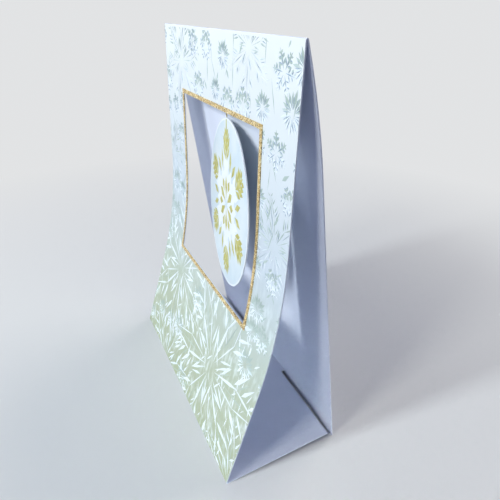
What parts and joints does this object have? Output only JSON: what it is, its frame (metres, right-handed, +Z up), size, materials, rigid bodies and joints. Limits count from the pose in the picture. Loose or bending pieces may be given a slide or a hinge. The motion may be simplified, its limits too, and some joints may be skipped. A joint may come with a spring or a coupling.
{
  "type": "greeting card",
  "caption": "Tent-folded greeting card that stands on a tabbed base flap, with a glitter-framed window in its front and a round medallion hanging in it on a thread.",
  "frame": {"origin": "on the table, in the middle of the card's width and of its depth with the tab", "axes": "+X along the card's width, -Y out of the printed front panel, +Z up to the top fold"},
  "size_m": [0.127, 0.0608, 0.1746],
  "materials": {
    "card_stock": "pearl-coated card, printed on the outside of the front panel and plain white inside",
    "gold_glitter": "coarse gold glitter on a paper strip",
    "medallion_card": "pale pearl card with a gold foil flake",
    "thread": "matt twisted thread"
  },
  "bodies": {
    "card": {"folded_card": "card_stock", "window_border": "gold_glitter", "hanging_thread": "thread"},
    "medallion": {"medallion": "medallion_card"}
  },
  "joints": [
    {"name": "medallion_turn", "type": "hinge", "parent": "card", "child": "medallion", "pos_m": [-0.00297, 0.00147, 0.14053], "axis": [0, 0, 1], "range_deg": [0, 17]}
  ]
}
